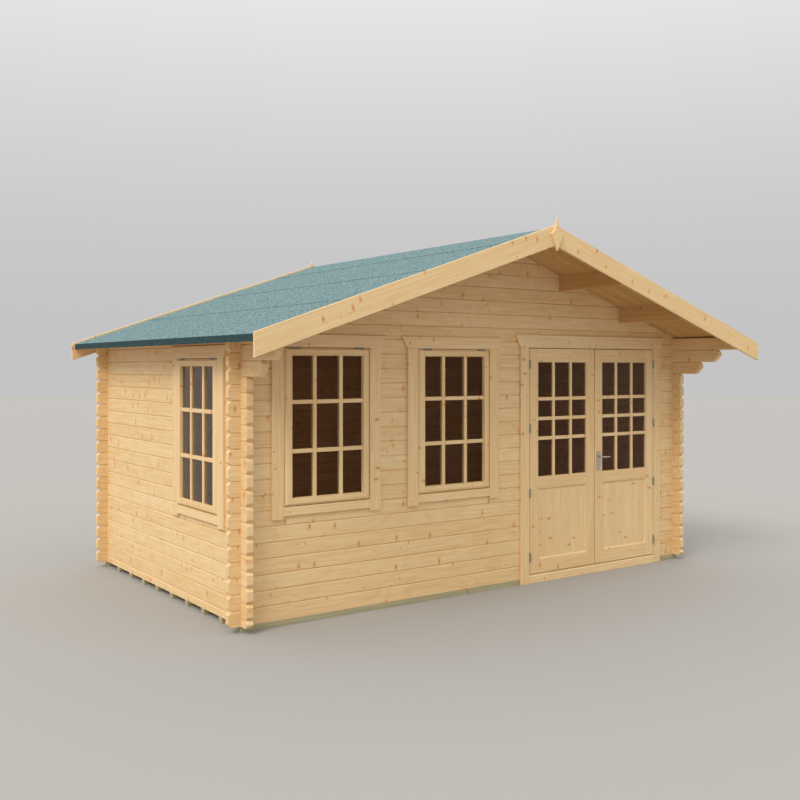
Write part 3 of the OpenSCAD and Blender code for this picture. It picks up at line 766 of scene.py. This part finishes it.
class CABIN_OT_windows(bpy.types.Operator):
    """Build the windows' trims, linings, sashes and hinges"""

    bl_idname = "cabin.windows"
    bl_label = "Windows"

    def window(self, name):
        """One window, drawn with its sash's underside at z = 0 and the wall's face at y = 0."""
        joinery = settings("cabin_joinery")
        a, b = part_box(name + "_sash")
        turned = name == "window_side"
        width, thickness = (b.y - a.y, b.x - a.x) if turned else (b.x - a.x, b.y - a.y)
        height = b.z - a.z
        if turned:
            place = Matrix.Translation((-HALF_W, (a.y + b.y) / 2, a.z))
            place @= Matrix.Rotation(-math.pi / 2, 4, "Z")
            face = -HALF_W - a.x
        else:
            place = Matrix.Translation(((a.x + b.x) / 2, FRONT_Y, a.z))
            face = FRONT_Y - a.y
        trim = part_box(name + "_trim")
        gap, lining_t = 4 * MM, 30 * MM
        half = width / 2 + gap
        top = height + gap
        horn, apron = a.z - trim[0].z, 66 * MM
        trims = Boards(name + "trim")
        for side in (-1, 1):
            trims.box((side * half, -TRIM_T, -horn), (side * (half + joinery.trim_w), 0, top), Z, X)
        trims.box((-half, -TRIM_T, -gap - apron), (half, 0, -gap), X, Z)
        header(trims, half + joinery.trim_w, top, trim[1].z - a.z)
        trims.piece(name + "_trim_boards", CABIN, "board_pine", "planed_pine", name + "_trim", place=place)

        linings = Boards(name + "lining")
        rim(linings, half, -gap, top, lining_t, 0, LOG_T)
        back = thickness - face
        rim(linings, half - gap - joinery.stop, joinery.stop, height - joinery.stop, joinery.stop + gap,
            back, back + joinery.stop)
        rim(linings, half, -gap, top, joinery.inner_trim_w, LOG_T, LOG_T + joinery.inner_trim_t)
        linings.piece(name + "_lining_boards", CABIN, "joinery_pine", "planed_pine", name + "_lining",
                      place=place)

        sash = Boards(name + "sash")
        y0, y1 = -face, back
        light = width / 2 - joinery.sash_stile
        z0, z1 = joinery.sash_bottom, height - joinery.sash_top
        shoulder = y0 + joinery.sash_chamfer
        under, over = ((0, shoulder, 0), (0, -1, -1)), ((0, shoulder, height), (0, -1, 1))
        for side in (-1, 1):
            sash.box((side * light, y0, 0), (side * width / 2, y1, height), Z, X,
                     cuts=(under, over, ((side * width / 2, shoulder, 0), (side, -1, 0))))
        sash.box((-light, y0, 0), (light, y1, z0), X, Z, cuts=(under,))
        sash.box((-light, y0, z1), (light, y1, height), X, Z, cuts=(over,))
        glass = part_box(name + "_glass")
        front, back = ((glass[0].x, glass[1].x) if turned else (glass[0].y, glass[1].y))
        wall = -HALF_W if turned else FRONT_Y
        mid, glass_t, bar = (front + back) / 2 - wall, back - front, joinery.sash_bar
        xs = (-joinery.sash_bar_x, joinery.sash_bar_x)
        zs = [z0 - bar / 2 + i * (z1 - z0 + bar) / 3 for i in (1, 2)]
        bars_between(sash, xs, zs, -light, light, z0, z1, bar, joinery.sash_bar_depth, mid, glass_t)
        bead_rim(sash, -light, light, z0, z1, y0, mid - glass_t / 2, joinery.bead)
        sash.piece(name + "_sash_joinery", CABIN, "joinery_pine", "planed_pine", name + "_sash",
                   place=place)
        self.hinges(name, place, width, height, gap)
        finish_node(name + "_glass", "float_glass")

    def hinges(self, name, place, width, height, gap):
        """Two small butt hinges on a top-hung sash: three knuckles each, one leaf on the header and
        the other on the sash's chamfer."""
        bm = bmesh.new()
        radius, length, knuckles, knuckle_gap = 2.6 * MM, 85 * MM, 3, 0.8 * MM
        plate_w, plate_t = 6 * MM, 1.2 * MM
        offset = 0.375 * width
        y, z = -TRIM_T - radius, height + gap / 2
        on_header = (-TRIM_T - plate_t / 2, z + 3.5 * MM, 0)
        on_chamfer = (-TRIM_T + 1.3 * MM, height - 5 * MM, -math.pi / 4)
        for side in (-1, 1):
            centre = side * offset
            for i in range(knuckles):
                step = length / knuckles
                x = centre - length / 2 + (i + 0.5) * step
                made = bmesh.ops.create_cone(bm, cap_ends=True, segments=20, radius1=radius, radius2=radius,
                                             depth=step - knuckle_gap)["verts"]
                bmesh.ops.rotate(bm, verts=made, matrix=Matrix.Rotation(math.pi / 2, 3, "Y"))
                bmesh.ops.translate(bm, verts=made, vec=(x, y, z))
            for y1, z1, turn in (on_header, on_chamfer):
                block(bm, (length, plate_t, plate_w), (centre, y1, z1), turn)
        bmesh.ops.transform(bm, matrix=place, verts=bm.verts)
        make_piece(bm, name + "_hinges", CABIN, "hinge_steel", "zinc_plate")

    def execute(self, context):
        for name in WINDOWS:
            self.window(name)
        return {"FINISHED"}


class CABIN_OT_doorway(bpy.types.Operator):
    """Build the door's lining, sill and trims"""

    bl_idname = "cabin.doorway"
    bl_label = "Doorway"

    def execute(self, context):
        joinery = settings("cabin_joinery")
        place = Matrix.Translation((DOOR_X, FRONT_Y, BASE_Z))
        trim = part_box("door_trim")
        half = (trim[1].x - trim[0].x) / 2 - joinery.trim_w - joinery.header_flare
        inner_top = high("door_lining").z - BASE_Z
        head = inner_top - joinery.inner_trim_w
        gap = 6 * MM
        sill = low("left_leaf").z - BASE_Z - gap
        hole_top = low("front_gable").z - BASE_Z
        lining_t, nosing = 34 * MM, 12 * MM
        stop_y = LOG_T - 20 * MM
        inner_y = LOG_T + joinery.inner_trim_t
        boards = Boards("doorway")
        for side in (-1, 1):
            boards.box((side * half, 0, 0), (side * (half + lining_t), LOG_T, hole_top), Z, Y)
            boards.box((side * half, stop_y, sill), (side * (half - gap - joinery.stop), LOG_T, head), Z, X)
            boards.box((side * half, LOG_T, high("floor_boards").z - BASE_Z),
                       (side * (half + joinery.inner_trim_w), inner_y, head), Z, X)
        boards.box((-half, 0, head), (half, LOG_T, hole_top), X, Y)
        boards.box((-half, stop_y, head - gap - joinery.stop), (half, LOG_T, head), X, Z)
        boards.box((-half - joinery.inner_trim_w, LOG_T, head),
                   (half + joinery.inner_trim_w, inner_y, inner_top), X, Z)
        boards.box((-half, 0, 0), (half, LOG_T, sill), X, Y)
        boards.box((-half, stop_y, sill), (half, LOG_T, sill + gap + joinery.stop), X, Y)
        boards.box((-half, -TRIM_T, -BASE_Z), (half, 0, sill), X, Z,
                   cuts=(((0, nosing - TRIM_T, sill), (0, -1, 1)),))
        boards.piece("door_lining_boards", CABIN, "joinery_pine", "planed_pine", "door_lining", place=place)
        trims = Boards("door trims")
        for side in (-1, 1):
            trims.box((side * half, -TRIM_T, -BASE_Z), (side * (half + joinery.trim_w), 0, head), Z, X)
        header(trims, half + joinery.trim_w, head, trim[1].z - BASE_Z)
        trims.piece("door_trim_boards", CABIN, "board_pine", "planed_pine", "door_trim", place=place)
        finish_node("door_hinge_pins", "zinc_plate")
        return {"FINISHED"}


class CABIN_OT_doors(bpy.types.Operator):
    """Build the two door leaves"""

    bl_idname = "cabin.doors"
    bl_label = "Door leaves"

    def leaf(self, hand, body):
        joinery = settings("cabin_joinery")
        a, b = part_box(hand + "_leaf")
        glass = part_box(hand + "_leaf_glass")
        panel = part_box(hand + "_leaf_panel")
        housed, joint = 8 * MM, 0.3 * MM
        x0, x1 = a.x + joinery.leaf_stile, b.x - joinery.leaf_stile
        panel_z0, panel_z1 = panel[0].z + housed, panel[1].z - housed
        light_z0, light_z1 = glass[0].z + housed, glass[1].z - housed
        boards = Boards(hand + " leaf")
        boards.box((a.x, a.y, a.z), (x0, b.y, b.z), Z, X)
        boards.box((x1, a.y, a.z), (b.x, b.y, b.z), Z, X)
        for z0, z1 in ((a.z, panel_z0), (panel_z1, light_z0), (light_z1, b.z)):
            boards.box((x0, a.y, z0), (x1, b.y, z1), X, Z)
        mid, glass_t, bar = (a.y + b.y) / 2, glass[1].y - glass[0].y, joinery.leaf_bar
        centre, half = (x0 + x1) / 2, (x1 - x0) / 2
        xs = [centre + side * (half + bar / 2) / 3 for side in (-1, 1)]
        first = light_z1 - joinery.tall_pane - bar / 2
        zs = [first - i * (joinery.small_pane + bar) for i in range(3)]
        bars_between(boards, xs, zs, x0, x1, light_z0, light_z1, bar, joinery.leaf_bar_depth, mid, glass_t)
        bead_rim(boards, x0, x1, light_z0, light_z1, a.y, mid - glass_t / 2, joinery.bead)
        bead_rim(boards, x0, x1, panel_z0, panel_z1, a.y, mid - joinery.panel_t / 2, joinery.panel_bead)
        boards.piece(hand + "_leaf_joinery", body, "joinery_pine", "planed_pine", hand + "_leaf")
        panels = Boards(hand + " panel")
        for p0, p1 in spaced(x0, x1, joinery.panel_board):
            panels.box((p0, panel[0].y, panel[0].z), (p1 - joint, panel[1].y, panel[1].z), Z, X,
                       edge=0.8 * MM)
        panels.piece(hand + "_panel_boards", body, "joinery_pine", "planed_pine", hand + "_leaf_panel")
        finish_node(hand + "_leaf_glass", "float_glass")
        finish_node(hand + "_leaf_hinges", "zinc_plate")

    def execute(self, context):
        self.leaf("left", LEFT_DOOR)
        self.leaf("right", RIGHT_DOOR)
        return {"FINISHED"}


class CABIN_OT_handle(bpy.types.Operator):
    """Build the handle plates and the levers"""

    bl_idname = "cabin.handle"
    bl_label = "Door handle"

    lever_top = 9 * MM  # from the lever's highest point down to its axis

    def plates(self):
        """A plate on each face, with two screws, a rose for the lever and one with a keyhole below it."""
        corner, arris = 14 * MM, 2 * MM
        screw_inset, screw_r, head_t = 12 * MM, 4 * MM, 1.2 * MM
        rose_r, rose_t, lock_r, lock_drop = 14 * MM, 2.5 * MM, 8.5 * MM, 72 * MM
        hole_r, hole_t = 2.4 * MM, 0.3 * MM
        slot, slot_out, slot_drop = (1.6 * MM, 0.6 * MM, 8 * MM), 1.3 * MM, 5 * MM
        bm = bmesh.new()
        holes = bmesh.new()
        a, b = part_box("handle_plates")
        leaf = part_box("right_leaf")
        thickness = leaf[0].y - a.y
        x = (a.x + b.x) / 2
        lever_z = high("handle_lever").z - self.lever_top
        lock_z = lever_z - lock_drop
        for way, y in ((-1, leaf[0].y), (1, leaf[1].y)):
            made = block(bm, (b.x - a.x, thickness, b.z - a.z),
                         (x, y + way * thickness / 2, (a.z + b.z) / 2))
            edges = {e for v in made for e in v.link_edges}
            corners = [e for e in edges if abs((e.verts[0].co - e.verts[1].co).normalized().y) > 0.9]
            round_edges(bm, corners, corner, segments=6)
            front = y + way * thickness
            round_edges(bm, [e for e in bm.edges if all(abs(v.co.y - front) < 1e-5 for v in e.verts)], arris)
            for z, radius in ((b.z - screw_inset, screw_r), (a.z + screw_inset, screw_r), (lock_z, lock_r)):
                self.disc(bm, x, front, z, radius, head_t, way)
            # the keyhole: a thin dark disc and slot laid on the lock's rose, painted shade for the hole
            self.disc(holes, x, front + way * head_t, lock_z, hole_r, hole_t, way)
            block(holes, slot, (x, front + way * slot_out, lock_z - slot_drop))
            self.disc(bm, x, front, lever_z, rose_r, rose_t, way)
        make_piece(bm, "handle_plate_pair", RIGHT_DOOR, "handle_steel", "satin_steel", "handle_plates")
        make_piece(holes, "keyholes", RIGHT_DOOR, "handle_steel", "keyhole_painted_shade")

    def disc(self, bm, x, y, z, radius, depth, way):
        """A flat round head that stands depth out of a face."""
        made = bmesh.ops.create_cone(bm, cap_ends=True, segments=24, radius1=radius,
                                     radius2=radius * 0.9, depth=depth)["verts"]
        bmesh.ops.rotate(bm, verts=made, matrix=Matrix.Rotation(-way * math.pi / 2, 3, "X"))
        bmesh.ops.translate(bm, verts=made, vec=(x, y + way * depth / 2, z))

    def levers(self):
        """A round neck that turns through a bend into a long grip, on each face."""
        bm = bmesh.new()
        a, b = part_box("handle_lever")
        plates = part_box("handle_plates")
        x = (plates[0].x + plates[1].x) / 2
        z = b.z - self.lever_top
        radius, bend, spare = 8 * MM, 12 * MM, 1 * MM
        # the grip's steps: how far each runs, how much it narrows and how far it drops
        steps = ((40 * MM, 0.95, 0), (40 * MM, 0.92, 1 * MM), (10 * MM, 0.9, 1 * MM), (4 * MM, 0.72, 0),
                 (1.5 * MM, 0.4, 0))
        for way, plate, out in ((-1, plates[0].y, a.y), (1, plates[1].y, b.y)):
            part = bmesh.new()
            ring = bmesh.ops.create_circle(part, cap_ends=False, radius=radius, segments=20)["verts"]
            bmesh.ops.rotate(part, verts=ring, matrix=Matrix.Rotation(math.pi / 2, 3, "X"))
            bmesh.ops.translate(part, verts=ring, vec=(x, plate, z))
            run = abs(out - plate) - bend - radius - spare
            grown = bmesh.ops.extrude_edge_only(part, edges=part.edges[:])["geom"]
            bmesh.ops.translate(part, verts=verts_of(grown), vec=(0, way * run, 0))
            grown = bmesh.ops.spin(part, geom=edges_of(grown), cent=(x + bend, plate + way * run, z),
                                   axis=(0, 0, 1), angle=way * -math.pi / 2, steps=8,
                                   use_duplicate=False)["geom_last"]
            for step, share, drop in steps:
                grown = bmesh.ops.extrude_edge_only(part, edges=edges_of(grown))["geom"]
                tip = verts_of(grown)
                bmesh.ops.translate(part, verts=tip, vec=(step, 0, -drop))
                middle = sum((v.co for v in tip), Vector()) / len(tip)
                bmesh.ops.scale(part, verts=tip, vec=(1, share, share), space=Matrix.Translation(-middle))
            bmesh.ops.holes_fill(part, edges=part.edges[:], sides=0)
            bmesh.ops.recalc_face_normals(part, faces=part.faces)
            for face in part.faces:
                face.smooth = len(face.verts) == 4
            gather(bm, part)
        make_piece(bm, "lever_pair", HANDLE, "handle_steel", "satin_steel", "handle_lever")

    def execute(self, context):
        self.plates()
        self.levers()
        return {"FINISHED"}


class CABIN_OT_stage(bpy.types.Operator):
    """Set up the floor, the light and the camera"""

    bl_idname = "cabin.stage"
    bl_label = "Stage"

    def camera(self):
        """Level, at a standing person's eye height, looking at the front from the left."""
        data = bpy.data.cameras.new("camera")
        data.sensor_width, data.lens, data.shift_y = 36.0, 44.0, -0.0421
        data.clip_end = 200
        camera = new_object("camera", data)
        camera.location = (-5.42, -7.442, 1.885)
        camera.rotation_euler = (math.pi / 2, 0, -math.radians(35.27))
        bpy.context.scene.camera = camera

    def lamp(self, name, energy, angle, direction, colour):
        data = bpy.data.lights.new(name, "SUN")
        data.energy, data.angle, data.color = energy, math.radians(angle), colour
        lamp = new_object(name, data)
        lamp.rotation_euler = Vector(direction).to_track_quat("-Z", "Y").to_euler()

    def floor(self):
        bm = bmesh.new()
        bmesh.ops.create_circle(bm, cap_ends=True, radius=60, segments=64)
        mesh = mesh_of(bm, "studio_floor")
        paper, tree = new_material("studio_paper")
        finish_material(tree, {"Base Color": srgb("A19F9B"), "Roughness": 0.95})
        mesh.materials.append(paper)
        new_object("studio_floor", mesh)

    def execute(self, context):
        self.camera()
        self.floor()
        self.lamp("key_light", energy=1.6, angle=25, direction=(0.85, 0.36, -0.90), colour=(1.0, 0.97, 0.92))
        world = bpy.data.worlds.new("studio_sky")
        world.use_nodes = True
        tree = world.node_tree
        up = add(tree, "SeparateXYZ", {0: add(tree, "TexCoord").outputs["Generated"]}).outputs[2]
        tree.links.new(ramp(tree, up, 0.0, 1.0, 0.55, 1.4), tree.nodes["Background"].inputs["Strength"])
        tree.nodes["Background"].inputs["Color"].default_value = (1.0, 1.0, 1.0, 1.0)
        context.scene.world = world
        context.scene.view_settings.view_transform = "Standard"
        return {"FINISHED"}


OPERATORS = (CABIN_OT_logs, CABIN_OT_base, CABIN_OT_roof, CABIN_OT_bargeboards, CABIN_OT_windows,
             CABIN_OT_doorway, CABIN_OT_doors, CABIN_OT_handle, CABIN_OT_stage)


class CABIN_PT_panel(bpy.types.Panel):
    """Lists the cabin's sizes, colours and pieces"""

    bl_idname = "CABIN_PT_panel"
    bl_label = "Log cabin"
    bl_space_type = "VIEW_3D"
    bl_region_type = "UI"
    bl_category = "Log cabin"

    def draw(self, context):
        for name, group in GROUPS.items():
            column = self.layout.column(align=True)
            for prop in group.__annotations__:
                column.prop(getattr(context.scene, name), prop)
        for operator in OPERATORS:
            self.layout.operator(operator.bl_idname)


def register():
    for name, group in GROUPS.items():
        bpy.utils.register_class(group)
        setattr(bpy.types.Scene, name, bpy.props.PointerProperty(type=group))
    for item in (*OPERATORS, CABIN_PT_panel):
        bpy.utils.register_class(item)


def unregister():
    for item in (CABIN_PT_panel, *reversed(OPERATORS)):
        bpy.utils.unregister_class(item)
    for name, group in reversed(GROUPS.items()):
        delattr(bpy.types.Scene, name)
        bpy.utils.unregister_class(group)


def main():
    """Builds everything in order."""
    register()
    bpy.ops.cabin.logs()
    bpy.ops.cabin.base()
    bpy.ops.cabin.roof()
    bpy.ops.cabin.bargeboards()
    bpy.ops.cabin.windows()
    bpy.ops.cabin.doorway()
    bpy.ops.cabin.doors()
    bpy.ops.cabin.handle()
    bpy.ops.cabin.stage()


if __name__ == "__main__":
    main()
